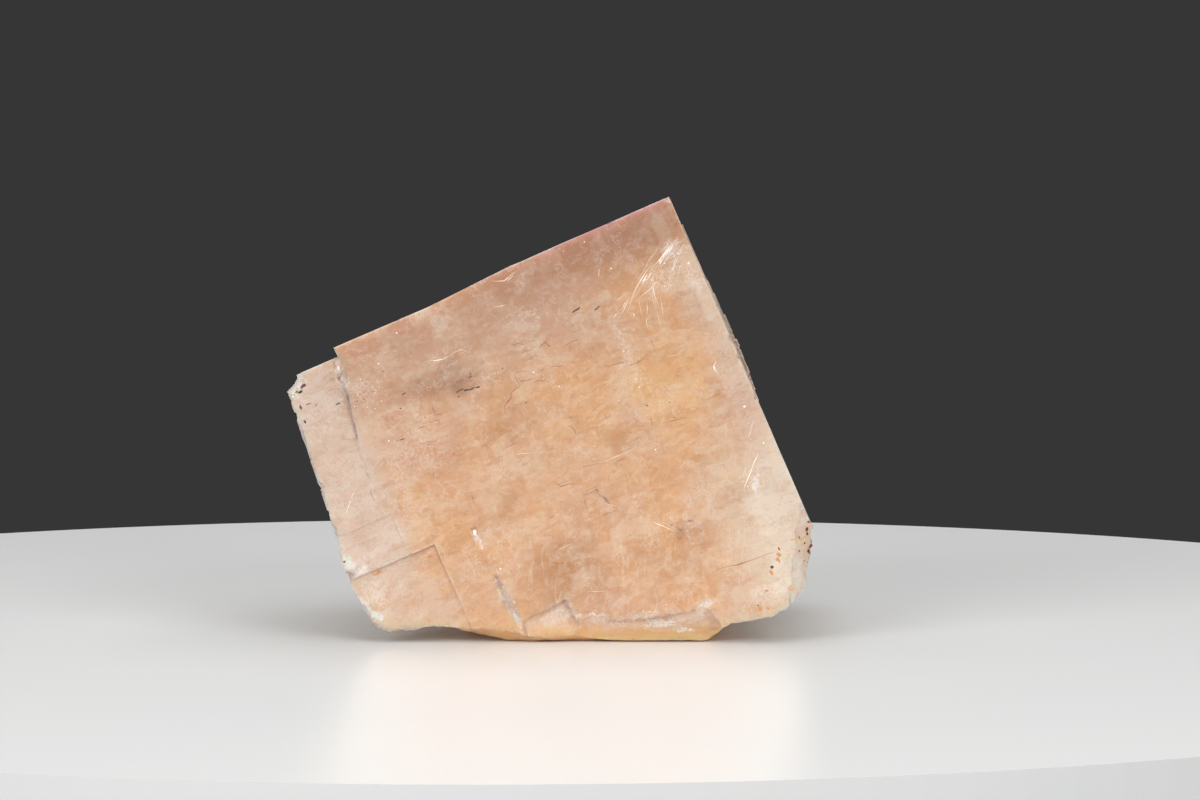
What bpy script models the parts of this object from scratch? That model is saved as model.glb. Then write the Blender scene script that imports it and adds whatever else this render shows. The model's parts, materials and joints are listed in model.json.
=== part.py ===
"""A single cube of pink fluorite, broken off its matrix and standing on the break.

The crystal leans, so that its top edge climbs to the right, and the lower corner of the cube is broken away.
It has a flat front face, a thinner slab grown onto its left side, growth terraces and steps on the other
faces, a patch of small cubes on the right face, chipped corners and edges, and a stepped break underneath
with flat places that it stands on.

Most shapes are given in crystal axes: a runs along the top edge to the right, b is the crystal's own up, and
c runs from the front face to the back. They start at the top right front corner. Every size below is in
millimetres.
"""

import math

import bmesh
import bpy
import numpy as np
from mathutils import Matrix, Vector, noise

MM = 0.001

# The cube, and how it stands. Its top dips a little towards the left.
DEPTH = 38.0
DOWN = 52.0
TOP = ((0, 0), (-17.8, 0.0), (-26.4, -0.46), (-36.95, -0.4))
LEAN = math.radians(23.6)
TURN = math.radians(1.5)
CORNER_X = 11.76
CORNER_HEIGHT = 44.9
FOOT_CENTRE = (0.4, 20.36)

# The slab on the left. Its front lies back from the cube's at the top and comes level with it further down.
SLAB_TOP = -1.38
SLAB_SEAM = ((-37.3, 1.0), (-37.3, SLAB_TOP), (-37.6, -4.0), (-38.6, -9.8), (-39.3, -16.0))
SLAB_OUTSIDE = (
    (-43.05, SLAB_TOP), (-43.3, -5.1), (-44.2, -15.3), (-44.45, -18.4), (-45.0, -20.2), (-45.05, -23.2),
    (-44.95, -25.2), (-44.55, -28.0), (-43.0, -31.5), (-43.0, -DOWN),
)
SLAB_SET_BACK = 0.3
SLAB_LEVEL_AT = -16.0
SLAB_DEPTH = 35.6

# Terraces that stand proud of the other faces: the axis that they stand out along, and a block's corners.
TERRACES = {
    "right_terrace": ("a", (
        ((-1.0, -24.0, 6.0), (0.11, -4.5, 31.0)),
        ((-1.0, -20.5, 9.0), (0.22, -10.0, 25.0)),
    )),
    "back_terrace": ("c", (
        ((-33.0, -33.0, 37.0), (-4.5, -5.0, 38.9)),
        ((-29.0, -26.5, 37.0), (-10.5, -8.5, 39.6)),
        ((-25.0, -17.5, 37.0), (-15.5, -11.5, 40.1)),
        ((-13.5, -42.0, 37.0), (-1.5, -22.5, 38.5)),
    )),
    "left_terrace": ("a", (
        ((-44.1, -17.0, 9.0), (-41.5, -5.0, 24.0)),
        ((-45.5, -31.0, 14.0), (-41.5, -15.5, 32.0)),
    )),
}
TERRACE_JOGS = 3
JOG_SHARE = 0.13
JOG_STEP = 0.09

# Steps cut into a face. The top face stays highest along its front edge.
STEPS = {
    "top_step": (
        ((-38.0, -1.0, 14.0), (-17.0, 1.0, 42.0)),
        ((-38.0, -1.6, 26.5), (-8.5, 1.0, 42.0)),
        ((-12.5, -0.45, 19.5), (-4.0, 1.0, 42.0)),
        ((-46.0, -2.1, 21.0), (-38.0, 1.0, 42.0)),
    ),
    "right_step": (
        ((-0.3, -37.0, 24.0), (1.0, -25.5, 42.0)),
        ((-0.55, -12.0, 31.5), (1.0, -3.0, 42.0)),
    ),
    "front_step": (
        ((-50.0, -22.7, -1.0), (-38.4, -18.05, 0.07)),
    ),
    "back_step": (
        ((-50.0, -60.0, 34.2), (-31.0, -20.0, 45.0)),
        ((-9.5, -60.0, 36.2), (1.0, -35.0, 45.0)),
    ),
}

# Slanting flats cut into the front face: outline, a place with the depth there, and how the depth grows along
# a and b. The two at the bottom are a scar and the dent beside it.
SLANTS = {
    "lower_left_flat": (
        ((-50.0, -42.0), (-35.6, -42.0), (-35.6, -22.6), (-50.0, -22.6)),
        (-35.6, -22.6), 0.36, (0.0, 0.024),
    ),
    "bottom_scar": (
        ((-26.2, -35.7), (-24.1, -35.45), (-23.1, -35.8), (-22.6, -36.5), (-22.2, -37.05), (-19.3, -38.05),
         (-14.9, -39.2), (-13.3, -39.0), (-12.0, -43.0), (-26.2, -43.0)),
        (-14.9, -39.0), 0.1, (-0.138, -0.4),
    ),
    "bottom_dent": (
        ((-30.5, -33.4), (-25.75, -33.0), (-25.6, -35.1), (-26.1, -38.5), (-31.0, -38.5)),
        (-30.5, -33.4), 0.04, (0.1, 0.0),
    ),
}

# Chips: middle, radii and turn in degrees about c.
CHIPS = {
    "top_corner_chip": ((0.3, 0.3, -0.1), (0.85, 0.8, 1.3), 0.0),
    "slab_corner_chip": ((-42.5, -1.15, -0.2), (2.7, 1.1, 13.0), 30.0),
    "slab_corner_bite": ((-42.2, -1.6, -0.3), (1.9, 0.8, 0.9), 36.0),
    "seam_chip_upper": ((-37.35, -2.0, 0.0), (0.42, 0.75, 0.4), 5.0),
    "seam_chip_lower": ((-37.6, -3.6, 0.05), (0.35, 0.6, 0.3), 8.0),
    "ledge_chip": ((-45.3, -22.3, 0.3), (1.0, 0.5, 1.0), 20.0),
    "foot_chip": ((-44.3, -30.2, 0.0), (0.9, 1.3, 0.8), 20.0),
    "gash": ((-31.1, -30.7, 0.0), (0.22, 2.7, 0.14), 3.0),
    "back_corner_chip": ((0.6, 0.4, 38.4), (3.6, 2.2, 4.0), 10.0),
    "back_left_chip": ((-44.2, -9.0, 36.2), (2.2, 4.2, 2.6), 4.0),
    "back_top_chip": ((-24.0, -1.2, 39.4), (4.4, 1.4, 2.2), 6.0),
}

# Runs of small nicks along the edges: from, to, how many and how big.
NICKED_EDGES = (
    ((-17.5, 0.12, -0.1), (-1.5, 0.12, -0.1), 4, 0.3),
    ((-36.0, -0.3, -0.1), (-26.0, -0.34, -0.1), 3, 0.3),
    ((-43.3, -4.5, -0.1), (-44.9, -26.0, -0.1), 9, 0.5),
    ((0.12, -2.5, -0.1), (0.12, -35.0, -0.1), 7, 0.34),
    ((0.2, 0.1, 3.0), (0.2, 0.1, 35.0), 7, 0.7),
    ((-41.0, -2.0, 35.8), (-4.0, -1.5, 38.1), 8, 0.95),
    ((-43.1, -1.6, 2.5), (-43.1, -2.2, 33.0), 7, 0.75),
    ((-43.3, -3.5, 35.7), (-44.5, -24.0, 35.7), 7, 0.95),
    ((0.2, -4.0, 38.1), (0.2, -33.0, 38.1), 7, 0.95),
)

# The small cubes on the right face: the middle of the patch and its reach in b and c.
CUBE_PATCH = ((-16.2, 16.0), (5.6, 9.5))
CUBE_COUNT = 34
CUBE_SIDES = (0.8, 2.4)
CUBE_PROUD = (0.22, 0.6)

# The break along the front face, and just behind it: distance to the right and height above the ground.
# Further back it rests on flat places around the middle of the foot, and rises to the rim.
BREAK_FRONT = (
    (-30.0, 6.0), (-18.6, 2.0), (-17.4, 0.7), (-13.8, 0.9), (-12.4, 1.5), (-6.5, 1.45), (-3.8, 1.0),
    (-1.6, 0.48), (1.0, 0.6), (2.8, 1.5), (4.6, 0.7), (7.9, 0.45), (12.1, 0.55), (15.9, 0.35), (17.3, 1.8),
    (22.9, 2.6), (23.5, 3.7), (25.6, 4.1), (34.0, 9.0),
)
BREAK_BEHIND = (
    (-30.0, 7.0), (-18.4, 3.2), (-16.5, 2.1), (-11.0, 1.9), (-8.6, 0.3), (-2.0, 0.0), (16.4, 0.0),
    (17.9, 1.9), (22.8, 3.2), (25.1, 5.0), (34.0, 9.0),
)
UNDERCUT = (0.2, 2.2)
INNER_FROM = (2.0, 12.0)
ROUGH_FROM = (1.0, 5.0)
FOOT_MIDDLE = (4.0, 18.5)
FOOT_REACH = (14.0, 18.0)
FOOT_SHARE = 0.85
FOOT_TO_RIM = 9.0
FOOT_SINK = 1.75

# The flat-sided hollows of a break: pitch, slope and seed of two layers, and how they are laid.
BREAK_FACETS = ((7.0, 0.28, 3), (2.7, 0.24, 8))
FACET_TURN = math.radians(24.3)
FACET_SPOT = (0.2, 0.8)
FACET_UNEVEN = 0.9

# The grid that a rough surface is made on, and how far its points are moved, as a share of the grid's pitch.
BREAK_PITCH = 1.2
GRID_JITTER = 0.6
GRID_BORDER = 0.1

# The ribbed fracture at the lower right corner: a point on it, and how far it leans in going down.
CORNER_BREAK_AT = (26.5, 11.3)
CORNER_BREAK_LEAN = math.radians(5.5)
CORNER_BREAK_FACETS = (4.0, 0.16, 12)
CORNER_BREAK_SINK = 0.5
CORNER_BREAK_SLANT = 0.05
CORNER_LIP = 1.5
CORNER_LIP_SLOPE = 1.0
CORNER_PITCH = 1.3
RIB_SWAY = 0.15
RIB_PITCH = 1.3
RIB_HEIGHT = 0.3


def crystal_place():
    """Crystal axes to world axes."""
    axes = Matrix(((1, 0, 0), (0, 0, 1), (0, 1, 0)))
    place = Matrix.Rotation(-LEAN, 3, "Y") @ Matrix.Rotation(-TURN, 3, "Z") @ axes
    return Matrix.Translation((CORNER_X, 0, CORNER_HEIGHT)) @ place.to_4x4()


def spread(low, high, share):
    return low + (high - low) * share


def ease(low, high, value):
    share = min(max((value - low) / (high - low), 0.0), 1.0)
    return share * share * (3 - 2 * share)


def as_object(name, shape, place):
    """Makes an object of a mesh in millimetres, with its faces turned outwards."""
    bmesh.ops.transform(shape, matrix=Matrix.Scale(MM, 4) @ place, verts=shape.verts)
    bmesh.ops.recalc_face_normals(shape, faces=shape.faces)
    mesh = bpy.data.meshes.new(name)
    shape.to_mesh(mesh)
    shape.free()
    thing = bpy.data.objects.new(name, mesh)
    bpy.context.scene.collection.objects.link(thing)
    return thing


def prism(name, outline, near, far, place):
    """An outline in a and b, carried from near to far along c. far may be a function of a and b."""
    shape = bmesh.new()
    front = shape.faces.new([shape.verts.new((a, b, near)) for a, b in outline])
    grown = bmesh.ops.extrude_face_region(shape, geom=[front], use_keep_orig=True)
    for vert in grown["geom"]:
        if isinstance(vert, bmesh.types.BMVert):
            vert.co.z = far(vert.co.x, vert.co.y) if callable(far) else far
    return as_object(name, shape, place)


def block(name, low, high, place):
    outline = ((low[0], low[1]), (high[0], low[1]), (high[0], high[1]), (low[0], high[1]))
    return prism(name, outline, low[2], high[2], place)


def chip(name, middle, radii, turn, place, detail=2):
    """A faceted lump, for biting a shell-shaped piece out of the crystal."""
    shape = bmesh.new()
    bmesh.ops.create_icosphere(shape, subdivisions=detail, radius=1.0)
    for vert in shape.verts:
        vert.co *= 1.0 + 0.2 * noise.noise(vert.co * 1.6 + Vector(middle) * 0.37)
    size = Matrix.Diagonal((*radii, 1.0))
    where = Matrix.Translation(middle) @ Matrix.Rotation(math.radians(turn), 4, "Z") @ size
    bmesh.ops.transform(shape, matrix=where, verts=shape.verts)
    return as_object(name, shape, place)


def rough_block(name, low, high, pitch, height, floor, place):
    """A block under a rough surface, height(u, v), on a jittered grid of triangles."""
    steps = [math.ceil((high[k] - low[k]) / pitch) for k in (0, 1)]
    middle = Vector(((low[0] + high[0]) / 2, (low[1] + high[1]) / 2, 0))
    size = Matrix.Diagonal((high[0] - low[0], high[1] - low[1], 1, 1))
    shape = bmesh.new()
    where = Matrix.Translation(middle) @ size
    bmesh.ops.create_grid(shape, x_segments=steps[0], y_segments=steps[1], size=0.5, matrix=where)
    top = shape.verts[:]
    grown = bmesh.ops.extrude_face_region(shape, geom=shape.faces[:], use_keep_orig=True)
    for vert in grown["geom"]:
        if isinstance(vert, bmesh.types.BMVert):
            vert.co.z = floor
    for number, vert in enumerate(top):
        if all(low[k] + GRID_BORDER < vert.co[k] < high[k] - GRID_BORDER for k in (0, 1)):
            shift = noise.cell_vector(Vector((number, 5, 2))) - Vector((0.5, 0.5, 0.5))
            vert.co.x += GRID_JITTER * pitch * shift.x
            vert.co.y += GRID_JITTER * pitch * shift.y
        vert.co.z = height(vert.co.x, vert.co.y)
    bmesh.ops.triangulate(shape, faces=shape.faces)
    return as_object(name, shape, place)


def facets(u, v, pitch, slope, seed):
    """Height of a surface of flat-sided hollows, as cleavage leaves it on a break."""
    cos, sin = math.cos(FACET_TURN), math.sin(FACET_TURN)
    lowest = math.inf
    for i in range(math.floor(u / pitch) - 1, math.floor(u / pitch) + 2):
        for j in range(math.floor(v / pitch) - 1, math.floor(v / pitch) + 2):
            pick = noise.cell_vector(Vector((i, j, seed)))
            du = u - (i + spread(*FACET_SPOT, pick.x)) * pitch
            dv = v - (j + spread(*FACET_SPOT, pick.y)) * pitch
            distance = abs(cos * du + sin * dv) + abs(cos * dv - sin * du)
            lowest = min(lowest, slope * (distance + FACET_UNEVEN * pitch * pick.z))
    return lowest


def break_height(x, y):
    """Height of the break above the ground, at x to the right and y to the back."""
    front = float(np.interp(x, *zip(*BREAK_FRONT)))
    behind = float(np.interp(x, *zip(*BREAK_BEHIND)))
    depth = y - (CORNER_X - x) * math.tan(TURN)
    across = (x - FOOT_MIDDLE[0]) / FOOT_REACH[0]
    along = (y - FOOT_MIDDLE[1]) / FOOT_REACH[1]
    rim = FOOT_TO_RIM * max((across ** 4 + along ** 4) ** 0.25 - FOOT_SHARE, 0.0) ** 1.3
    rough = sum(facets(x, y, *layer) for layer in BREAK_FACETS) - FOOT_SINK
    inner = spread(behind, behind / 2 + rim, ease(*INNER_FROM, depth)) + rough * ease(*ROUGH_FROM, depth)
    return max(0.0, spread(front, inner, ease(*UNDERCUT, depth)))


def corner_break_height(y, up):
    """How far the fracture at the lower right corner cuts in, along its ribs."""
    ribs = abs((y / RIB_PITCH + RIB_SWAY * math.sin(up)) % 1.0 - 0.5) * 2 * RIB_HEIGHT
    lip = CORNER_LIP_SLOPE * max(CORNER_LIP - y, 0.0)
    return lip + ribs + facets(y, up, *CORNER_BREAK_FACETS) - CORNER_BREAK_SINK - CORNER_BREAK_SLANT * y


def build_additions(place):
    """What grew onto the cube."""
    grown = []
    for kind, (out, blocks) in TERRACES.items():
        for number, (low, high) in enumerate(blocks):
            for jog in range(TERRACE_JOGS):
                pick = noise.cell_vector(Vector((number, jog, high[0]))) * 2 - Vector((1, 1, 1))
                size = [top - foot for top, foot in zip(high, low)]
                shift = Vector([share * side * JOG_SHARE for share, side in zip(pick, size)])
                shift["abc".index(out)] = -JOG_STEP * jog * (1 if high["abc".index(out)] > 0 else -1)
                ends = Vector(low) + shift, Vector(high) + shift
                grown.append(block(f"{kind}_{number}_{jog}", *ends, place))
    (middle_b, middle_c), (reach_b, reach_c) = CUBE_PATCH
    for number in range(CUBE_COUNT):
        where = noise.cell_vector(Vector((number, 7, 1))) * 2 - Vector((1, 1, 1))
        pick = noise.cell_vector(Vector((number, 3, 9)))
        side = spread(*CUBE_SIDES, pick.x ** 2)
        proud = spread(*CUBE_PROUD, pick.y * (1 - abs(where.x)))
        low = (proud - side, middle_b + reach_b * where.x - side / 2, middle_c + reach_c * where.y - side / 2)
        grown.append(block(f"small_cube_{number}", low, [k + side for k in low], place))
    return grown


def build_cutters(place):
    """The break underneath, the steps, the slab's set-back and every chip."""
    upright = Matrix.Identity(4)
    cut = [rough_block("underside", (-32, -4), (34, 48), BREAK_PITCH, break_height, -30.0, upright)]

    lean = Matrix.Rotation(CORNER_BREAK_LEAN, 4, "Y")
    facing_in = Matrix(((0, 0, -1, 0), (1, 0, 0, 0), (0, 1, 0, 0), (0, 0, 0, 1)))
    corner = Matrix.Translation((CORNER_BREAK_AT[0], 0, CORNER_BREAK_AT[1])) @ lean @ facing_in
    reach = (-4, -16), (48, 6)
    cut.append(rough_block("corner_break", *reach, CORNER_PITCH, corner_break_height, -20, corner))

    def set_back(a, b):
        return SLAB_SET_BACK * (b - SLAB_LEVEL_AT) / (SLAB_TOP - SLAB_LEVEL_AT)

    below = SLAB_LEVEL_AT - 1.0
    outline = ((-50.0, 1.0), *SLAB_SEAM, (SLAB_SEAM[-1][0], below), (-50.0, below))
    cut.append(prism("slab_front", outline, -1.0, set_back, place))
    cut.append(block("slab_back", (-50.0, -60.0, SLAB_DEPTH), (-39.0, 2.0, 45.0), place))

    for kind, blocks in STEPS.items():
        cut += [block(f"{kind}_{number}", *ends, place) for number, ends in enumerate(blocks)]
    for name, (outline, start, depth, growth) in SLANTS.items():
        def slant(a, b):
            return depth + growth[0] * (a - start[0]) + growth[1] * (b - start[1])

        cut.append(prism(name, outline, -1.0, slant, place))
    cut += [chip(name, *sizes, place) for name, sizes in CHIPS.items()]
    for edge, (start, end, count, size) in enumerate(NICKED_EDGES):
        for number in range(count):
            pick = noise.cell_vector(Vector((number, edge, 4)))
            middle = Vector(start).lerp(Vector(end), (number + 0.15 + 0.7 * pick.x) / count)
            radius = size * spread(0.35, 1.0, pick.y ** 2)
            radii = (radius * 1.2, radius * spread(0.8, 1.3, pick.z), radius)
            cut.append(chip(f"nick_{edge}_{number}", middle, radii, 60 * pick.z, place, detail=1))
    return cut


def combine(thing, parts, operation):
    """Joins the parts to the thing, or cuts them out of it, and leaves them out of the render."""
    group = bpy.data.collections.new(operation.lower())
    bpy.context.scene.collection.children.link(group)
    for part in parts:
        bpy.context.scene.collection.objects.unlink(part)
        group.objects.link(part)
        part.hide_render = True
        part.display_type = "WIRE"
    step = thing.modifiers.new(operation.lower(), "BOOLEAN")
    step.operation = operation
    step.operand_type = "COLLECTION"
    step.collection = group


def pink_fluorite():
    """Cloudy peach-pink crystal."""
    material = bpy.data.materials.new("pink_fluorite")
    material.use_nodes = True
    shader = material.node_tree.nodes["Principled BSDF"]
    shader.inputs["Base Color"].default_value = (0.70, 0.43, 0.27, 1.0)
    shader.inputs["Roughness"].default_value = 0.28
    shader.inputs["Metallic"].default_value = 0.0
    shader.inputs["IOR"].default_value = 1.434
    return material


def centre_on_origin():
    """Hangs everything from one empty, which puts the middle of the crystal's footprint over the origin."""
    standing = bpy.data.objects.new("standing", None)
    for thing in bpy.data.objects:
        if thing is not standing:
            thing.parent = standing
    bpy.context.scene.collection.objects.link(standing)
    standing.location = Vector((-FOOT_CENTRE[0], -FOOT_CENTRE[1], 0.0)) * MM


def main():
    for thing in list(bpy.data.objects):
        bpy.data.objects.remove(thing)
    place = crystal_place()
    outline = (*TOP, (TOP[-1][0], SLAB_TOP), *SLAB_OUTSIDE, (0, -DOWN))
    crystal = prism("fluorite_crystal", outline, 0.0, DEPTH, place)
    combine(crystal, build_additions(place), "UNION")
    combine(crystal, build_cutters(place), "DIFFERENCE")
    crystal.data.materials.append(pink_fluorite())
    centre_on_origin()


main()
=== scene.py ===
import json
import math
import random

import bmesh
import bpy
from mathutils import Matrix, Vector, noise
from mathutils.bvhtree import BVHTree
from mathutils.geometry import intersect_point_line

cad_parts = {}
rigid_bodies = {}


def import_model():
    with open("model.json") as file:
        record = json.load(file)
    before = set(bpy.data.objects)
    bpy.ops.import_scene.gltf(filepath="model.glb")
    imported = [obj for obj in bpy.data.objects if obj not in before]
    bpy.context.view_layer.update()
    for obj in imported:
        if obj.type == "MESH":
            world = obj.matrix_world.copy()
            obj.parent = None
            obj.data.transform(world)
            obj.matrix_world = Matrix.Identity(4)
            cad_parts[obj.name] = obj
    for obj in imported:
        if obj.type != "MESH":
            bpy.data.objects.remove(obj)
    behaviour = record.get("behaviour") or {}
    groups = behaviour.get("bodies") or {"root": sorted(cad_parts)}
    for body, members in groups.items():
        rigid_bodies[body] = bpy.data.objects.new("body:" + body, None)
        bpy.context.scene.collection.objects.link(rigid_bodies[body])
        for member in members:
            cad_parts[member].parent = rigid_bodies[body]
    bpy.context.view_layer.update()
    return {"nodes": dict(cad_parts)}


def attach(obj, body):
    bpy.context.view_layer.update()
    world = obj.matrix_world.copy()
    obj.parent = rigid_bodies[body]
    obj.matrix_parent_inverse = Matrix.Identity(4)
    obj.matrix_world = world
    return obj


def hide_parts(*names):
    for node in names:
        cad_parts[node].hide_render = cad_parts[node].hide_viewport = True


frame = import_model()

# ---------------------------------------------------------------------------------------------------------------------
# The crystal. The real piece is one cube of fluorite that leans on its broken foot. It is made from a merged copy of
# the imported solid: its flat faces are laid out in a fine grid, clefts, scratches and flakes are cut into them, and its
# broken places get the small cleavage facets that fluorite breaks in. It stands in for that solid.

MM = 0.001

# The crystal's own axes start at its top corner: a runs along the front face's upper edge, b up its right edge and c
# into the crystal. Lengths along them are in mm. The crystal leans and is turned about that corner.
LEAN = math.radians(23.6)
TURN = math.radians(1.5)
CORNER = Vector((11.36, -20.36, 44.9))
AXES = Matrix(((1, 0, 0, 0), (0, 0, 1, 0), (0, 1, 0, 0), (0, 0, 0, 1)))
STANDING = Matrix.Scale(MM, 4) @ Matrix.Translation(CORNER)
STANDING = STANDING @ Matrix.Rotation(-LEAN, 4, "Y") @ Matrix.Rotation(-TURN, 4, "Z") @ AXES

# A face of the cube: the way out of it, and the two ways along it, all in a, b and c.
FRONT = Vector((0, 0, -1)), Vector((1, 0, 0)), Vector((0, 1, 0))
BACK = Vector((0, 0, 1)), Vector((1, 0, 0)), Vector((0, 1, 0))
RIGHT = Vector((1, 0, 0)), Vector((0, 0, 1)), Vector((0, 1, 0))
LEFT = Vector((-1, 0, 0)), Vector((0, 0, 1)), Vector((0, 1, 0))
TOP = Vector((0, 1, 0)), Vector((1, 0, 0)), Vector((0, 0, 1))

FLUORITE, BRUISE, STAIN = range(3)

# A cutter stands this far out of the face, and the search for the surface starts this far out, both in mm.
LIFT = 0.05
CLEAR = 80.0

# How wide and how deep a groove is, each as a share of its listed width, and how far a scratch strays in mm.
CLEFT_WIDTH, CLEFT_DEPTH = 1.1, 0.35
SCRATCH_WIDTH, SCRATCH_DEPTH = 0.7, 0.08
SCRATCH_WANDER = 0.02

# Brown clefts of the front face: the line that each follows along a and b, and its width.
CLEFTS = (
    (((-32.5, -11.2), (-31.6, -11.4)), 0.10),
    (((-34.9, -11.5), (-33.8, -11.7)), 0.09),
    (((-33.2, -12.6), (-31.3, -13.1), (-30.7, -12.7)), 0.08),
    (((-31.5, -14.6), (-30.7, -14.7), (-29.9, -15.4), (-28.1, -15.2)), 0.11),
    (((-27.2, -15.4), (-26.2, -15.6)), 0.08),
    (((-20.4, -7.4), (-19.9, -7.4), (-19.1, -7.9)), 0.09),
    (((-18.1, -8.7), (-17.2, -8.4), (-17.0, -8.9)), 0.09),
    (((-16.1, -9.8), (-15.4, -9.5), (-14.0, -9.5)), 0.13),
    (((-17.6, -10.9), (-16.9, -11.2), (-16.3, -11.2)), 0.11),
    (((-15.9, -11.3), (-15.0, -11.5)), 0.10),
    (((-15.0, -12.7), (-14.0, -12.6)), 0.08),
    (((-19.7, -10.6), (-20.6, -10.1), (-21.2, -10.0), (-21.4, -10.6), (-21.3, -11.4)), 0.11),
    (((-21.3, -11.4), (-22.4, -11.7), (-22.6, -12.2), (-23.5, -12.6), (-23.8, -13.4)), 0.13),
    (((-19.8, -11.6), (-18.9, -11.9), (-18.5, -11.7)), 0.11),
    (((-11.0, -13.8), (-10.2, -14.0), (-9.2, -13.9), (-8.4, -13.7), (-7.4, -13.6)), 0.10),
    (((-5.0, -20.1), (-3.2, -20.1)), 0.08),
    (((-8.5, -21.5), (-7.4, -21.5)), 0.09),
    (((-18.6, -17.0), (-18.1, -17.4), (-18.1, -18.1), (-16.3, -18.2), (-15.2, -18.4)), 0.10),
    (((-13.9, -19.3), (-13.9, -20.8), (-13.6, -21.4), (-12.5, -21.4)), 0.10),
    (((-19.6, -21.4), (-18.6, -21.4), (-16.5, -21.8)), 0.12),
    (((-22.1, -21.5), (-21.5, -22.3), (-20.3, -22.5)), 0.08),
    (((-22.9, -16.4), (-23.9, -16.5), (-25.7, -16.6)), 0.07),
    (((-25.9, -25.1), (-25.0, -25.1)), 0.09),
    (((-24.7, -25.7), (-23.1, -25.5)), 0.10),
    (((-26.1, -27.7), (-24.8, -28.0), (-24.1, -27.8), (-22.7, -27.5)), 0.13),
    (((-11.1, -36.3), (-10.0, -36.3), (-8.6, -36.6), (-6.1, -36.8), (-4.5, -36.9)), 0.10),
    (((-39.3, -14.9), (-39.4, -16.2)), 0.08),
    (((-20.0, -23.8), (-18.1, -23.7)), 0.07),
    (((-20.1, -26.7), (-17.3, -26.7)), 0.08),
    (((-18.9, -38.4), (-17.1, -38.6), (-15.1, -39.2), (-12.8, -39.4), (-11.7, -39.5)), 0.12),
)

# White scratches and bruises of the front face, listed in the same way.
SCRATCHES = (
    (((-1.6, -4.4), (-2.2, -4.8), (-3.4, -5.4), (-4.0, -5.7)), 0.16),
    (((-2.2, -4.8), (-3.3, -5.4), (-3.7, -6.0)), 0.12),
    (((-4.2, -5.5), (-5.2, -6.0), (-6.5, -6.9), (-8.0, -8.3)), 0.17),
    (((-5.1, -6.2), (-6.1, -7.0)), 0.24),
    (((-7.9, -7.9), (-9.1, -8.9)), 0.11),
    (((-1.0, -4.5), (-1.5, -5.0)), 0.15),
    (((-3.5, -6.6), (-4.3, -7.1)), 0.12),
    (((-8.0, -9.2), (-7.95, -9.6)), 0.26),
    (((-9.4, -8.6), (-10.0, -8.9)), 0.10),
    (((-19.5, -0.75), (-18.5, -1.15), (-17.2, -0.75)), 0.18),
    (((-18.4, -1.3), (-17.4, -1.0)), 0.14),
    (((-9.3, -3.8), (-9.7, -4.6)), 0.12),
    (((-2.3, -17.0), (-2.8, -17.4), (-2.6, -18.2)), 0.22),
    (((-14.6, -29.2), (-12.9, -31.0)), 0.14),
    (((-2.0, -27.1), (-2.8, -27.8), (-4.0, -29.0), (-4.9, -29.9)), 0.17),
    (((-1.3, -24.1), (-2.1, -24.7)), 0.16),
    (((-1.5, -24.4), (-2.4, -25.3)), 0.12),
    (((-28.5, -5.5), (-28.1, -5.7), (-27.2, -5.9), (-26.6, -5.8)), 0.16),
    (((-26.6, -5.8), (-25.9, -5.7), (-25.2, -5.7), (-24.8, -6.1)), 0.07),
    (((-20.0, -24.0), (-18.6, -24.0)), 0.14),
    (((-18.2, -25.6), (-17.3, -26.4)), 0.13),
    (((-6.6, -14.6), (-5.2, -14.9)), 0.08),
    (((-17.5, -21.7), (-13.3, -21.8)), 0.08),
    (((-24.4, -28.1), (-23.0, -28.0)), 0.09),
    (((-42.5, -16.2), (-41.0, -14.6), (-40.1, -14.0)), 0.08),
)

# Flakes that have sprung off the front face: the outline, and how deep each is at its upper and its lower end.
FLAKES = (
    (((-20.0, -24.0), (-18.5, -24.0), (-18.0, -25.8), (-17.3, -26.6), (-20.1, -26.7)), 0.16, 0.03),
    (((-13.2, -30.2), (-10.9, -30.8), (-10.4, -32.0), (-11.0, -33.0), (-12.0, -32.6), (-11.8, -31.4)), 0.07, 0.05),
    (((-31.6, -22.6), (-31.1, -22.7), (-31.0, -23.7), (-31.4, -24.0)), 0.12, 0.06),
)

# Where the front face is crushed white: a line along a and b, and how far the crush reaches from it.
CRUSHED = (
    (((-37.2, -1.4), (-37.3, -2.2), (-37.4, -3.3), (-37.3, -4.2)), 0.55),
    (((-43.2, -3.4), (-42.6, -2.9), (-41.8, -2.7), (-41.1, -2.5)), 0.7),
    (((-44.3, -20.1), (-44.3, -21.1), (-44.0, -22.0), (-43.1, -22.1)), 0.8),
    (((-44.7, -24.9), (-44.4, -26.2), (-43.7, -27.2)), 0.9),
    (((-30.7, -27.3), (-31.4, -28.4)), 0.22),
    (((-31.4, -28.4), (-31.3, -29.3), (-31.2, -30.5), (-31.1, -32.2), (-30.9, -33.4)), 0.38),
    (((-31.3, -22.9), (-31.4, -24.6)), 0.35),
    (((-25.7, -33.1), (-25.55, -35.0), (-24.1, -35.4), (-23.1, -35.7), (-22.6, -36.4)), 0.4),
    (((-22.2, -37.0), (-20.5, -37.6), (-19.3, -38.0)), 0.4),
    (((-19.2, -38.7), (-18.2, -39.0), (-16.9, -39.5)), 0.8),
    (((-14.0, -38.9), (-13.3, -39.0), (-12.6, -39.1)), 0.6),
    (((-16.9, -40.6), (-15.4, -40.9)), 0.5),
    (((-3.1, -29.1), (-3.9, -30.4)), 0.7),
)


def from_face(face, along, up, out):
    """A place in a, b and c: so far along and up a face, and so far out from the crystal's corner."""
    return face[1] * along + face[2] * up + face[0] * out


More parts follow.
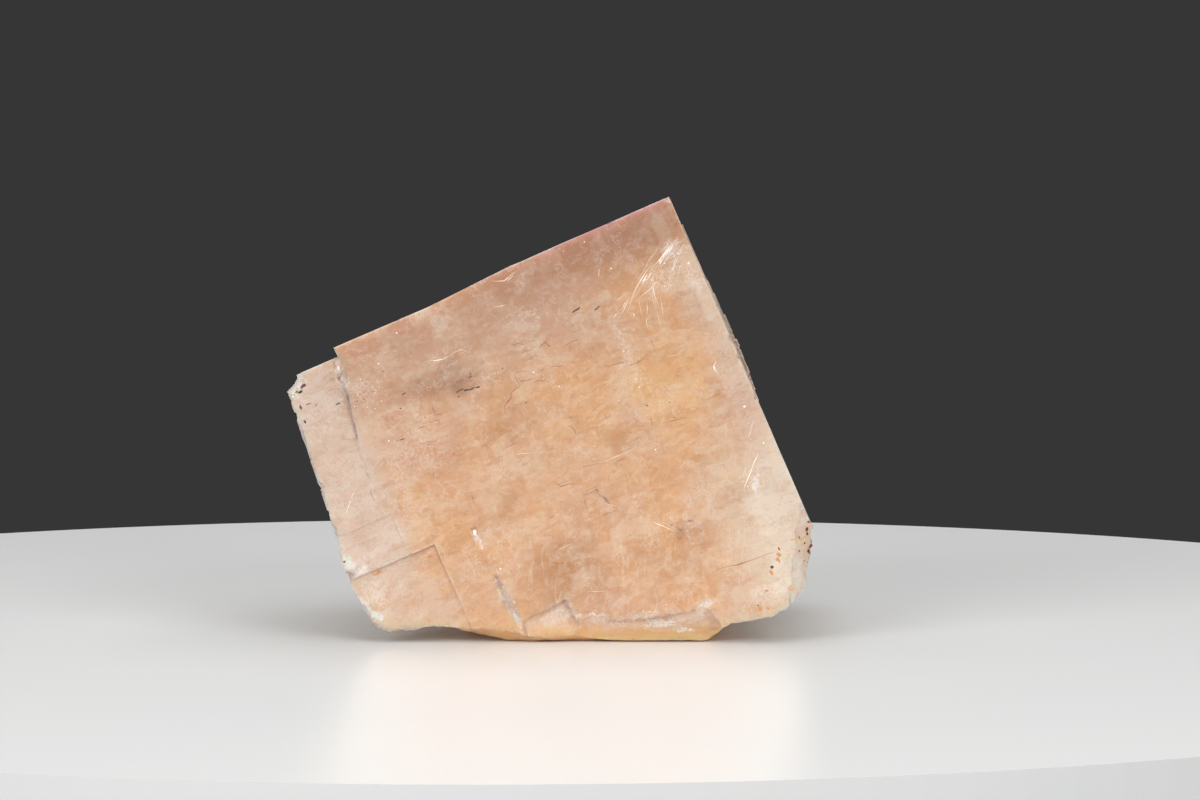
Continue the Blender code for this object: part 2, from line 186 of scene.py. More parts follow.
def closed_mesh(name, rings, material):
    """A closed body through rings of as many points each."""
    shape = bmesh.new()
    corners = [[shape.verts.new(point) for point in ring] for ring in rings]
    for near, far in zip(corners, corners[1:]):
        for k in range(len(near)):
            shape.faces.new((near[k], near[k - 1], far[k - 1], far[k]))
    shape.faces.new(corners[0])
    shape.faces.new(reversed(corners[-1]))
    bmesh.ops.transform(shape, matrix=STANDING, verts=shape.verts)
    bmesh.ops.recalc_face_normals(shape, faces=shape.faces)
    for face in shape.faces:
        face.material_index = material
    mesh = bpy.data.meshes.new(name)
    shape.to_mesh(mesh)
    shape.free()
    return mesh


def surface_level(solid, face, along, up):
    """How far out the crystal's surface lies there."""
    start = STANDING @ from_face(face, along, up, CLEAR)
    into = (STANDING.to_3x3() @ -face[0]).normalized()
    hit = solid.ray_cast(start, into)[0]
    return None if hit is None else (STANDING.inverted() @ hit).dot(face[0])


def is_open(solid, face, point, level, around=0.45, steady=0.03):
    """Whether the face goes on all round a place, with no edge and no step near it."""
    for way in ((around, 0), (-around, 0), (0, around), (0, -around)):
        beside = surface_level(solid, face, *(point + Vector(way)))
        if beside is None or abs(beside - level) > steady:
            return False
    return True


def groove(name, solid, face, line, width, depth, material, step=0.7, wander=0.05):
    """A V-shaped cutter along a line on a face, narrowing to nothing at its ends. None where an edge is near."""
    pick = random.Random(name)
    points = [Vector(line[0])]
    for start, end in zip(map(Vector, line), map(Vector, line[1:])):
        count = max(2, round((end - start).length / step))
        points += [start.lerp(end, k / count) for k in range(1, count + 1)]
    rings = []
    for k, point in enumerate(points):
        ahead = points[min(k + 1, len(points) - 1)] - points[max(k - 1, 0)]
        side = Vector((-ahead.y, ahead.x)).normalized()
        taper = min(1.0, 0.12 + 1.6 * min(k, len(points) - 1 - k) / len(points)) * pick.uniform(0.7, 1.3)
        point = point + side * pick.uniform(-wander, wander)
        level = surface_level(solid, face, *point)
        if level is None or not is_open(solid, face, point, level):
            return None
        half = width / 2 * taper
        reach = depth * taper
        spreading = half * (LIFT + reach) / reach
        left = point + side * spreading
        right = point - side * spreading
        rings.append((from_face(face, *left, level + LIFT), from_face(face, *right, level + LIFT),
                      from_face(face, *point, level - reach)))
    return bpy.data.objects.new(name, closed_mesh(name, rings, material))


def flake(name, solid, face, outline, upper, lower, material):
    """A shallow cutter under an outline on a face, as deep as given at its upper and at its lower end."""
    ups = [up for along, up in outline]
    top, bottom = [], []
    for along, up in outline:
        level = surface_level(solid, face, along, up)
        share = (max(ups) - up) / (max(ups) - min(ups))
        top.append(from_face(face, along, up, level + LIFT))
        bottom.append(from_face(face, along, up, level - upper - (lower - upper) * share))
    return bpy.data.objects.new(name, closed_mesh(name, (top, bottom), material))


def copy_of_node(name, node):
    """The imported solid's mesh with its loose triangles merged, as a new object."""
    shape = bmesh.new()
    shape.from_mesh(frame["nodes"][node].data)
    bmesh.ops.remove_doubles(shape, verts=shape.verts, dist=1e-6)
    mesh = bpy.data.meshes.new(name)
    shape.to_mesh(mesh)
    shape.free()
    thing = bpy.data.objects.new(name, mesh)
    bpy.context.scene.collection.objects.link(thing)
    return thing


def strewn(face, reach, count, seed, long, across, width):
    """Short stepped lines strewn over part of a face: mostly along its first way, with small jogs across it."""
    pick = random.Random(seed)
    (low_along, high_along), (low_up, high_up) = reach
    lines = []
    for _ in range(count):
        point = Vector((pick.uniform(low_along, high_along), pick.uniform(low_up, high_up)))
        line = [point]
        for _ in range(pick.choice((1, 1, 2, 2, 3))):
            along_it = pick.random() > across
            length = pick.uniform(*long) * (1.0 if along_it else 0.6)
            way = Vector((1, pick.uniform(-0.3, 0.2))) if along_it else Vector((pick.uniform(-0.4, 0.1), -1))
            line.append(line[-1] + way * length)
        lines.append((face, line, pick.uniform(*width)))
    return lines


# The finest clefts lie in the middle of the front face, and the other faces have theirs.
FINE_CLEFTS = (
    *strewn(FRONT, ((-33.0, -14.0), (-18.0, -8.0)), 46, 5, (0.3, 1.2), 0.4, (0.035, 0.07)),
    *strewn(FRONT, ((-33.0, -9.0), (-30.0, -18.0)), 28, 8, (0.3, 1.2), 0.25, (0.035, 0.065)),
    *strewn(FRONT, ((-24.0, -6.0), (-15.0, -9.0)), 16, 9, (0.3, 1.3), 0.2, (0.035, 0.06)),
    *strewn(RIGHT, ((4.0, 35.0), (-34.0, -4.0)), 30, 21, (0.4, 1.8), 0.3, (0.03, 0.07)),
    *strewn(LEFT, ((3.0, 33.0), (-27.0, -4.0)), 30, 22, (0.4, 1.8), 0.3, (0.03, 0.07)),
    *strewn(TOP, ((-42.0, -3.0), (3.0, 34.0)), 34, 23, (0.4, 2.0), 0.3, (0.03, 0.07)),
    *strewn(BACK, ((-42.0, -3.0), (-33.0, -4.0)), 34, 24, (0.4, 2.0), 0.3, (0.03, 0.07)),
)


def swept(face, start, end, count, seed, long, width, fan):
    """Fine scratches side by side between two places on a face, all turned nearly one way."""
    pick = random.Random(seed)
    start, end = Vector(start), Vector(end)
    way = (end - start).normalized()
    side = Vector((-way.y, way.x))
    lines = []
    for _ in range(count):
        middle = start.lerp(end, pick.random()) + side * pick.gauss(0, fan)
        reach = (way + side * pick.gauss(0, 0.12)) * pick.uniform(*long) / 2
        bend = side * pick.uniform(-0.12, 0.12)
        lines.append((face, (middle - reach, middle + bend, middle + reach), pick.uniform(*width)))
    return lines


FINE_SCRATCHES = (
    *swept(FRONT, (-1.8, -4.4), (-8.6, -8.6), 26, 31, (0.8, 3.4), (0.03, 0.08), 0.55),
    *swept(FRONT, (-1.0, -5.2), (-4.6, -8.4), 14, 32, (0.5, 1.8), (0.03, 0.08), 0.5),
    *swept(FRONT, (-5.2, -7.6), (-6.3, -11.2), 9, 33, (0.8, 2.4), (0.03, 0.07), 0.6),
    *swept(FRONT, (-2.2, -26.0), (-4.2, -30.5), 3, 34, (0.5, 1.5), (0.05, 0.09), 0.5),
    *swept(FRONT, (-30.0, -3.0), (-12.0, -3.4), 3, 35, (0.4, 1.2), (0.05, 0.08), 1.5),
    *swept(FRONT, (-34.0, -24.0), (-10.0, -31.0), 3, 36, (0.5, 1.8), (0.05, 0.08), 3.5),
    *swept(RIGHT, (8.0, -8.0), (30.0, -24.0), 16, 37, (0.8, 4.0), (0.06, 0.14), 5.0),
    *swept(LEFT, (8.0, -8.0), (28.0, -20.0), 14, 38, (0.8, 3.0), (0.06, 0.14), 4.0),
    *swept(TOP, (-36.0, 13.0), (-8.0, 28.0), 20, 39, (0.8, 4.0), (0.06, 0.14), 4.0),
    *swept(BACK, (-36.0, -8.0), (-8.0, -26.0), 18, 40, (0.8, 4.0), (0.06, 0.14), 5.0),
)

crystal = copy_of_node("crystal", "fluorite_crystal")
solid = BVHTree.FromObject(crystal, bpy.context.evaluated_depsgraph_get())

# The flat faces get a fine grid along the crystal's axes before they are cut into. It is finer on the front. The
# first line of a grid lies off the axis by a share of the pitch, clear of the corner.
FRONT_GRID = 0.45
GRID = 0.75
GRID_START = 0.37
SNAP = 0.02
FLAT = 0.9985
LEVEL_WITHIN = math.radians(0.4)
shape = bmesh.new()
shape.from_mesh(crystal.data)
bmesh.ops.transform(shape, matrix=STANDING.inverted(), verts=shape.verts)
bmesh.ops.reverse_faces(shape, faces=shape.faces)
shape.normal_update()


def is_flat(face):
    """Whether it lies square to one of the crystal's axes."""
    return max(abs(part) for part in face.normal) > FLAT


inner = [edge for edge in shape.edges if len(edge.link_faces) == 2
         and all(is_flat(face) for face in edge.link_faces)]
bmesh.ops.dissolve_limit(shape, angle_limit=LEVEL_WITHIN, verts=[], edges=inner)
shape.normal_update()
for axis, pitch in ((0, FRONT_GRID), (1, FRONT_GRID), (0, GRID), (1, GRID), (2, GRID)):
    reach = [vert.co[axis] for vert in shape.verts]
    for cut in range(math.ceil(min(reach) / pitch), math.floor(max(reach) / pitch) + 1):
        level = (cut + GRID_START) * pitch
        here = []
        for face in shape.faces:
            fronting = face.normal.z < -FLAT
            if is_flat(face) and abs(face.normal[axis]) < 0.5 and fronting == (pitch == FRONT_GRID):
                side = [vert.co[axis] for vert in face.verts]
                if min(side) < level < max(side):
                    here.append(face)
        edges = list({edge for face in here for edge in face.edges})
        verts = list({vert for face in here for vert in face.verts})
        across = [0, 0, 0]
        across[axis] = 1
        where = [0, 0, 0]
        where[axis] = level
        bmesh.ops.bisect_plane(shape, geom=verts + edges + here, dist=SNAP, plane_co=where, plane_no=across)
bmesh.ops.transform(shape, matrix=STANDING, verts=shape.verts)
bmesh.ops.reverse_faces(shape, faces=shape.faces)
shape.to_mesh(crystal.data)
shape.free()

cuts = []
for number, (face, line, width) in enumerate([(FRONT, *cleft) for cleft in CLEFTS] + list(FINE_CLEFTS)):
    cuts.append(groove(f"cleft_{number}", solid, face, line, CLEFT_WIDTH * width, CLEFT_DEPTH * width, STAIN))
for number, (face, line, width) in enumerate([(FRONT, *mark) for mark in SCRATCHES] + list(FINE_SCRATCHES)):
    cuts.append(groove(f"scratch_{number}", solid, face, line, SCRATCH_WIDTH * width, SCRATCH_DEPTH * width, BRUISE,
                       wander=SCRATCH_WANDER))
for number, (outline, upper, lower) in enumerate(FLAKES):
    cuts.append(flake(f"flake_{number}", solid, FRONT, outline, upper, lower, FLUORITE))

materials = [bpy.data.materials.new(name) for name in ("cloudy_fluorite", "white_bruise", "brown_stain")]
for material in materials:
    crystal.data.materials.append(material)
cutters = bpy.data.collections.new("cutters")
for cut in filter(None, cuts):
    for material in materials:
        cut.data.materials.append(material)
    cutters.objects.link(cut)
bpy.context.scene.collection.children.link(cutters)
carving = crystal.modifiers.new("carving", "BOOLEAN")
carving.operand_type = "COLLECTION"
carving.collection = cutters
carving.material_mode = "TRANSFER"
carved = bpy.data.meshes.new_from_object(crystal.evaluated_get(bpy.context.evaluated_depsgraph_get()))
crystal.modifiers.remove(carving)
for cut in list(cutters.objects):
    bpy.data.objects.remove(cut)
bpy.data.collections.remove(cutters)
crystal.data = carved

# The broken places get smaller triangles. Points nearer than the weld are joined first.
BREAK_TRIANGLE = 0.42
LONGEST_EDGE = 1.4 * BREAK_TRIANGLE
WELD = 0.002
shape = bmesh.new()
shape.from_mesh(crystal.data)
bmesh.ops.transform(shape, matrix=STANDING.inverted(), verts=shape.verts)
bmesh.ops.reverse_faces(shape, faces=shape.faces)
bmesh.ops.remove_doubles(shape, verts=shape.verts, dist=WELD)
shape.normal_update()
for _ in range(3):
    long = [edge for edge in shape.edges if edge.calc_length() > LONGEST_EDGE
            and any(not is_flat(face) for face in edge.link_faces)]
    bmesh.ops.subdivide_edges(shape, edges=long, cuts=1, use_grid_fill=True)
    rough = [face for face in shape.faces if len(face.verts) > 3 and not is_flat(face)]
    bmesh.ops.triangulate(shape, faces=rough, quad_method="SHORT_EDGE", ngon_method="BEAUTY")
bmesh.ops.triangulate(shape, faces=shape.faces, quad_method="SHORT_EDGE", ngon_method="BEAUTY")


def islands(faces):
    """The faces of each part that hangs together."""
    left = set(faces)
    while left:
        reached = [left.pop()]
        island = []
        while reached:
            face = reached.pop()
            island.append(face)
            beside = {other for edge in face.edges for other in edge.link_faces} & left
            left -= beside
            reached += beside
        yield island


# Where cuts cross they leave loose splinters, which go.
splinters = sorted(islands(shape.faces), key=len)[:-1]
bmesh.ops.delete(shape, geom=[face for island in splinters for face in island], context="FACES")
shape.normal_update()


def ease(low, high, value):
    """A smooth step from 0 at low to 1 at high."""
    share = min(max((value - low) / (high - low), 0.0), 1.0)
    return share * share * (3 - 2 * share)


def crush_at(place):
    """How crushed the front face is there, from 0 to 1."""
    most = 0.0
    flat = place.xy
    for line, reach in CRUSHED:
        for start, end in zip(map(Vector, line), map(Vector, line[1:])):
            nearest, share = intersect_point_line(flat, start, end)
            nearest = start.lerp(end, min(max(share, 0.0), 1.0))
            most = max(most, ease(reach, 0.2 * reach, (flat - nearest).length))
    return most


# Wear and break are kept with the points, for the finish to read: how much of what meets there is broken, how worn
# the edge is, and how crushed the place is.
CRUSH_DEPTH = 2.6
EDGE_ANGLE = math.radians(40)
broken = shape.verts.layers.float.new("broken")
worn = shape.verts.layers.float.new("worn")
crushed = shape.verts.layers.float.new("crushed")
for vert in shape.verts:
    stone = [face for face in vert.link_faces if face.material_index == FLUORITE]
    uncut = len(stone) == len(vert.link_faces)
    rough = sum(face.calc_area() for face in stone if not is_flat(face))
    vert[broken] = rough / max(sum(face.calc_area() for face in stone), 1e-9)
    sharpest = max(edge.calc_face_angle_signed(0.0) for edge in vert.link_edges)
    vert[worn] = 1.0 if uncut and sharpest > EDGE_ANGLE else 0.0
    vert[crushed] = crush_at(vert.co) if vert.co.z < CRUSH_DEPTH else 0.0


def cleavage(place, pitch):
    """Flat-sided hollows, four-sided like the planes that fluorite splits along. 0 at the lowest, about 1 at most."""
    return noise.voronoi(place / pitch, distance_metric="MANHATTAN")[0][0]


# Every point goes inwards by some of these depths, in mm. The foot stays level where it stands, up to FOOT, and all
# of the depth comes in above FOOT_END. A point that would come out of the solid stays where it is.
BREAK_DEPTH, BREAK_PITCH = 0.20, 1.1
SMALL_BREAK_DEPTH, SMALL_BREAK_PITCH = 0.09, 0.45
WAVE_DEPTH = 0.03
WEAR_DEPTH, NICK_DEPTH = 0.02, 0.3
CRUMBLE_DEPTH, CRUMBLE_PITCH = 0.16, 0.5
FOOT, FOOT_END = 0.03, 0.7
SHARP_ANGLE = math.radians(24)
OUTSIDE = 0.02 * MM
moves = []
for vert in shape.verts:
    place = vert.co
    height = (STANDING @ place).z / MM
    rough = BREAK_DEPTH * cleavage(place, BREAK_PITCH)
    rough += SMALL_BREAK_DEPTH * cleavage(place + Vector((3, 1, 7)), SMALL_BREAK_PITCH)
    waves = noise.noise(place * 0.22) + 0.5 * noise.noise(place * 0.6 + Vector((4, 2, 9)))
    relief = WAVE_DEPTH * waves + WAVE_DEPTH
    nick = max(0.0, noise.noise(place * 1.3) + 0.1) ** 2
    wear = WEAR_DEPTH + NICK_DEPTH * nick * (0.1 + ease(1.0, 8.0, place.z))
    crush = CRUMBLE_DEPTH * cleavage(place, CRUMBLE_PITCH)
    amount = rough * vert[broken] + relief * (1 - vert[broken]) + vert[worn] * wear + vert[crushed] * crush
    moves.append(-vert.normal * amount * ease(FOOT, FOOT_END, height))
for vert, move in zip(shape.verts, moves):
    nearest, outwards = solid.find_nearest(STANDING @ (vert.co + move))[:2]
    if (STANDING @ (vert.co + move) - nearest).dot(outwards) < OUTSIDE:
        vert.co += move
bmesh.ops.transform(shape, matrix=STANDING, verts=shape.verts)
bmesh.ops.reverse_faces(shape, faces=shape.faces)
shape.to_mesh(crystal.data)
shape.free()
crystal.data.shade_smooth()
crystal.data.set_sharp_from_angle(angle=SHARP_ANGLE)
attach(crystal, "root")
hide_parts("fluorite_crystal")


class Tone:
    """A socket of a material's nodes. Sums, differences and products of tones add their own Math nodes."""

    def __init__(self, tree, socket=None):
        self.tree = tree
        self.socket = socket

    def node(self, kind, settings, inputs, out=0):
        """Any node: its settings first, and then its sockets' values or tones."""
        made = self.tree.nodes.new("ShaderNode" + kind)
        for name, value in settings.items():
            setattr(made, name, value)
        for name, value in inputs.items():
            if isinstance(value, Tone):
                self.tree.links.new(value.socket, made.inputs[name])
            else:
                made.inputs[name].default_value = value
        return Tone(self.tree, made.outputs[out])

    def maths(self, operation, *values):
        return self.node("Math", {"operation": operation}, dict(enumerate(values)))

    def __add__(self, other):
        return self.maths("ADD", self, other)

    def __radd__(self, other):
        return self.maths("ADD", other, self)

    def __sub__(self, other):
        return self.maths("SUBTRACT", self, other)

    def __rsub__(self, other):
        return self.maths("SUBTRACT", other, self)

    def __mul__(self, other):
        return self.maths("MULTIPLY", self, other)

    def __rmul__(self, other):
        return self.maths("MULTIPLY", other, self)

    def over(self, other):
        """The greater of the two."""
        return self.maths("MAXIMUM", self, other)

    def away(self, value):
        """How far this is from a value, either way."""
        return self.maths("ABSOLUTE", self - value)

    def ease(self, low, high, start=0.0, end=1.0):
        """A smooth step between two values. low may be the higher of the two."""
        return self.node("MapRange", {"interpolation_type": "SMOOTHSTEP"},
                         {0: self, 1: low, 2: high, 3: start, 4: end})

    def noise(self, size, detail=3.0, rough=0.55, out=0, **more):
        """Cloudy noise with blotches of about that size."""
        return self.node("TexNoise", {}, {"Vector": self, "Scale": 1 / size, "Detail": detail, "Roughness": rough,
                                          **more}, out)

    def blocks(self):
        """A random value for each square-cornered block of a pattern of about one block to the unit."""
        return parts_of(self.node("TexVoronoi", {"distance": "CHEBYCHEV"}, {"Vector": self, "Scale": 1.0}, 1))[0]

    def shifted(self, operation, *values):
        """Vector maths on a place."""
        return self.node("VectorMath", {"operation": operation}, {0: self, **dict(enumerate(values, 1))})

    def stirred(self, size, reach):
        """This place moved by up to half the reach each way, in a cloudy pattern with blotches of about that size."""
        shift = self.noise(size, detail=4.0, out=1).shifted("SUBTRACT", (0.5, 0.5, 0.5))
        return self.shifted("ADD", shift.shifted("MULTIPLY", (reach, reach, reach)))

    def between(self, low, high):
        """The colour that lies this far from one colour to another."""
        return self.node("Mix", {"data_type": "RGBA"}, {0: self, 6: low, 7: high}, 2)

    def under(self, mask, colour):
        """This colour with another laid over it through a mask."""
        return mask.between(self, colour)


def shade(red, green, blue):
    """A colour as a paint chart gives it, 0 to 255, in the values that a shader takes."""
    linear = [((part / 255 + 0.055) / 1.055) ** 2.4 if part > 10 else part / 3295 for part in (red, green, blue)]
    return (*linear, 1.0)


def start_finish(material):
    """The material's Principled shader, and its place in the crystal's own axes: a, c and b, in mm."""
    material.use_nodes = True
    tree = material.node_tree
    tone = Tone(tree)
    turn = Matrix.Rotation(TURN, 3, "Z") @ Matrix.Rotation(LEAN, 3, "Y")
    corner = -(turn @ CORNER)
    held = tone.node("TexCoord", {}, {}, "Object")
    place = tone.node("Mapping", {"vector_type": "POINT"},
                      {"Vector": held, "Location": corner, "Rotation": (0, LEAN, TURN), "Scale": (1000, 1000, 1000)})
    return tree.nodes["Principled BSDF"], place


def two_colours(material, pattern, low, high, roughness):
    """A finish between two colours, by a noise: its size and detail, and the values that stand for low and high."""
    shader, place = start_finish(material)
    size, detail, first, last = pattern
    lay(shader, Base_Color=place.noise(size, detail=detail).ease(first, last).between(low, high))
    shader.inputs["Roughness"].default_value = roughness


def spots(place, marks, depth=2.0):
    """Soft blots near the front face, each at a and b with its reach in a and b and its strength."""
    total = 0.0
    for along, up, wide, high, strength in marks:
        near = place.shifted("SUBTRACT", (along, 0, up)).shifted("DIVIDE", (wide, depth, high))
        far = near.node("VectorMath", {"operation": "LENGTH"}, {0: near}, "Value")
        total = far.ease(1.0, 0.25, 0.0, strength) + total
    return total


def parts_of(tone):
    """The three parts of a place or of a colour."""
    split = tone.node("SeparateXYZ", {}, {0: tone})
    return [Tone(tone.tree, split.socket.node.outputs[k]) for k in range(3)]


def lay(shader, **tones):
    """Links tones to the shader's sockets, named with _ for a space."""
    for name, tone in tones.items():
        tone.tree.links.new(tone.socket, shader.inputs[name.replace("_", " ")])


PEACH = shade(222, 180, 151)
APRICOT = shade(232, 184, 139)
ROSE = shade(190, 145, 121)
DUSK = shade(206, 173, 154)
LILAC = shade(206, 148, 164)
CREAM = shade(240, 227, 208)
PALE = shade(231, 216, 204)
MILK = shade(252, 244, 236)
SMOKE = shade(178, 136, 112)
TOFFEE = shade(198, 148, 106)
PAINTED_GLOW_GOLD = shade(242, 198, 148)
HONEY = shade(244, 194, 132)
RUST = shade(232, 158, 78)
DUST_AND_PAINTED_REFLECTION = shade(126, 102, 88)

shader, place = start_finish(materials[FLUORITE])
tone = Tone(place.tree)
along, into, up = parts_of(place)
warped = place.stirred(6.0, 7.0)
nudged = place.stirred(1.2, 1.2)
clouds = warped.noise(9.0, detail=4.0, rough=0.5)
veil = warped.noise(3.4, detail=8.0, rough=0.62)
mottle = place.noise(1.3, detail=6.0, rough=0.75)
brushed = nudged.shifted("MULTIPLY", (0.35, 0.35, 1.6)).noise(1.0, detail=5.0, rough=0.65)
grain = place.noise(0.28, detail=3.0, rough=0.6)

# Wisps are thin bent threads of white inside the crystal, and cracks the same in brown. Both follow the middle value
# of a noise.
threads = nudged.noise(2.6, detail=5.0, rough=0.7)
wisps = threads.away(0.5).ease(0.022, 0.0)
fissures = nudged.shifted("ADD", (31, 7, 5)).shifted("MULTIPLY", (0.6, 0.6, 1.5)).noise(2.2, detail=4.0, rough=0.6)
cracks = fissures.away(0.5).ease(0.010, 0.0)
patchy = place.noise(4.0, detail=2.0)

# Blocky patches along the crystal's axes, as of cleavage planes seen a little below the surface.
block = nudged.shifted("MULTIPLY", (0.30, 0.30, 0.62)).blocks()
small_block = nudged.shifted("MULTIPLY", (0.8, 0.8, 1.7)).blocks()

# The colour from the widest changes to the finest: broad zones of it, a painted glow of light shining through the
# crystal, warm and dark blotches, and then the mottling.
colour = clouds.ease(0.3, 0.7).between(PEACH, APRICOT)
dusky = (up + 6.0 * clouds).ease(-10.0, -2.0) * along.ease(-6, -16)
colour = colour.under(dusky * 0.6, DUSK)
rosy = (up + 5.0 * clouds).ease(-4.5, 1.0) * along.ease(-30, -8, 0.2, 1.0)
colour = colour.under(rosy, ROSE)
slab = (along + 3.0 * clouds).ease(-34.0, -38.5) * up.ease(-30.0, -22.0)
rim = (along + 3.0 * veil).ease(-3.5, 0.5) * up.ease(-3, -9)
low = (along + 8.0 * clouds).ease(-8.0, 0.0) * (up + 8.0 * clouds).ease(-19.0, -28.0)
foot = (along + 6.0 * clouds).ease(-29.0, -37.0) * (up + 4.0 * clouds).ease(-22.0, -27.0)
colour = colour.under((low * 0.95).over(foot * 0.3), CREAM)
colour = colour.under((slab * 0.75).over(rim * 0.6), PALE)
# Painted light: a gold glow in the middle and right of the front face, as of light shining through the cloudy crystal.
painted_glow = spots(warped, ((-8.5, -17.5, 8.0, 8.0, 0.8), (-20.0, -20.0, 9.0, 6.0, 0.3), (-12.2, -6.0, 1.2, 0.9, 0.4)))
colour = colour.under(painted_glow, PAINTED_GLOW_GOLD)
shades = spots(warped, ((-28.9, -7.4, 5.5, 2.6, 0.75), (-26.8, -9.2, 2.4, 1.6, 0.5), (-33.0, -26.0, 3.4, 1.2, 0.3),
                        (-28.0, -36.0, 3.6, 1.6, 0.45), (-16.5, -41.0, 4.2, 1.4, 0.35)))
colour = colour.under(shades, SMOKE)
toffee = spots(warped, ((-14.7, -20.6, 2.4, 2.8, 0.45), (-27.7, -21.8, 2.6, 2.2, 0.4), (-11.8, -31.6, 1.5, 1.8, 0.8),
                        (-23.5, -14.5, 4.5, 3.0, 0.5), (-24.0, -30.0, 7.0, 5.5, 0.9), (-14.0, -33.0, 7.0, 4.5, 0.5),
                        (-6.0, -31.0, 2.2, 3.0, 0.3)))
colour = colour.under(toffee, TOFFEE)
colour = colour.under(block.ease(0.45, 1.0, 0.0, 0.20), TOFFEE)
colour = colour.under(block.ease(0.35, 0.0, 0.0, 0.20), CREAM)
colour = colour.under(small_block.ease(0.7, 1.0, 0.0, 0.16), TOFFEE)
colour = colour.under(small_block.ease(0.3, 0.0, 0.0, 0.16), CREAM)
colour = colour.under(veil.ease(0.46, 0.80, 0.0, 0.45), CREAM)
colour = colour.under(brushed.ease(0.5, 0.85, 0.0, 0.35), CREAM)
colour = colour.under(brushed.ease(0.5, 0.2, 0.0, 0.35), TOFFEE)
colour = colour.under(mottle.ease(0.5, 0.85, 0.0, 0.55), CREAM)
colour = colour.under(mottle.ease(0.5, 0.2, 0.0, 0.50), TOFFEE)
colour = colour.under(cracks * patchy.ease(0.42, 0.62) * 0.45, SMOKE)
colour = colour.under(wisps * patchy.ease(0.58, 0.40) * 0.30, MILK)
colour = colour.under(grain.ease(0.60, 0.76, 0.0, 0.55), CREAM)
colour = colour.under(grain.ease(0.40, 0.26, 0.0, 0.30), TOFFEE)
edge_tint = (up + 0.7 * veil).ease(-0.35, 0.35) * along.ease(-24, -6, 0.25, 1.0) * into.ease(3.0, 0.5)
colour = colour.under(edge_tint * 0.6, LILAC)

# Upright wisps of white in the lower half.
upright_place = tone.node("TexCoord", {}, {}, "Object")
height = parts_of(upright_place)[2]
streaks = upright_place.shifted("MULTIPLY", (1300, 1300, 260)).noise(1.0, detail=5.0, rough=0.6, Distortion=1.6)
lower_half = (up + 5.0 * clouds).ease(-20.0, -27.0) * along.ease(-34.0, -28.0)
colour = colour.under(streaks.ease(0.54, 0.72) * lower_half * 0.4, CREAM)

# White where the crystal is bruised, rust and honey where it is stained, and on the right face, among its small
# cubes, brown dust that also paints the dark reflection of the dim room seen there at a grazing angle.
broken_here = tone.node("Attribute", {"attribute_name": "broken"}, {}, "Fac")
worn_here = tone.node("Attribute", {"attribute_name": "worn"}, {}, "Fac")
crushed_here = tone.node("Attribute", {"attribute_name": "crushed"}, {}, "Fac")
haze = spots(nudged, ((-1.8, -5.2, 2.0, 1.6, 0.9), (-4.0, -7.4, 2.6, 1.8, 0.6), (-1.0, -8.6, 1.0, 3.0, 0.7),
                      (-35.8, -5.6, 2.2, 2.6, 0.5), (-33.0, -13.5, 4.0, 3.0, 0.4), (-3.4, -29.4, 1.3, 1.4, 0.7),
                      (-13.3, -39.0, 2.0, 0.6, 0.9), (-6.6, -40.4, 3.2, 1.6, 0.75), (-4.8, -38.0, 1.2, 1.0, 0.6),
                      (-10.2, -12.5, 0.7, 5.5, 0.45), (-43.0, -25.0, 2.0, 3.5, 0.6), (-42.5, -21.2, 2.6, 0.9, 0.5),
                      (-20.5, -37.5, 3.4, 0.7, 0.6), (-36.2, -15.5, 1.2, 5.0, 0.35), (-32.0, -35.0, 5.0, 1.2, 0.35)))
rusty = spots(place.shifted("ADD", place.noise(0.5, detail=3.0, out=1).shifted("SUBTRACT", (0.5, 0.5, 0.5))),
              ((-42.0, -23.0, 0.45, 0.18, 1.0), (-42.35, -22.95, 0.2, 0.14, 0.8), (-36.6, -23.6, 0.40, 0.18, 1.0),
               (-31.5, -30.7, 0.28, 0.3, 0.7), (-31.4, -29.0, 0.26, 0.26, 0.7), (-4.25, -37.3, 0.34, 0.50, 1.0),
               (-4.5, -37.9, 0.24, 0.40, 0.8), (-5.65, -38.7, 0.26, 0.45, 0.8), (-8.18, -41.6, 0.34, 0.34, 0.8),
               (-7.44, -41.9, 0.26, 0.3, 0.7), (-6.85, -40.2, 0.16, 0.3, 0.6), (-1.3, -36.9, 0.7, 0.3, 0.6),
               (-2.4, -36.5, 0.5, 0.2, 0.5), (-1.4, -38.5, 0.5, 0.7, 1.0), (-4.4, -41.0, 0.7, 0.3, 0.5),
               (-1.7, -39.6, 0.5, 0.4, 0.6), (-3.0, -42.6, 0.9, 1.2, 0.55), (-31.8, -14.2, 0.3, 0.25, 0.5)), 3.0)
honey = (height + 0.0016 * mottle).ease(0.0034, 0.0014) * broken_here.ease(0.1, 0.9, 0.5, 1.0)
honey = honey.over(spots(nudged, ((-14.7, -41.3, 2.4, 1.0, 0.9), (-17.1, -40.7, 1.8, 0.8, 0.8),
                                  (-12.6, -42.2, 2.6, 1.2, 0.9), (-33.1, -33.3, 2.4, 0.8, 0.4)), 4.0))
colour = colour.under(honey * mottle.ease(0.25, 0.6, 0.5, 0.9), HONEY)
speckle = grain.ease(0.34, 0.66) * 0.6 + mottle.ease(0.34, 0.66) * 0.4
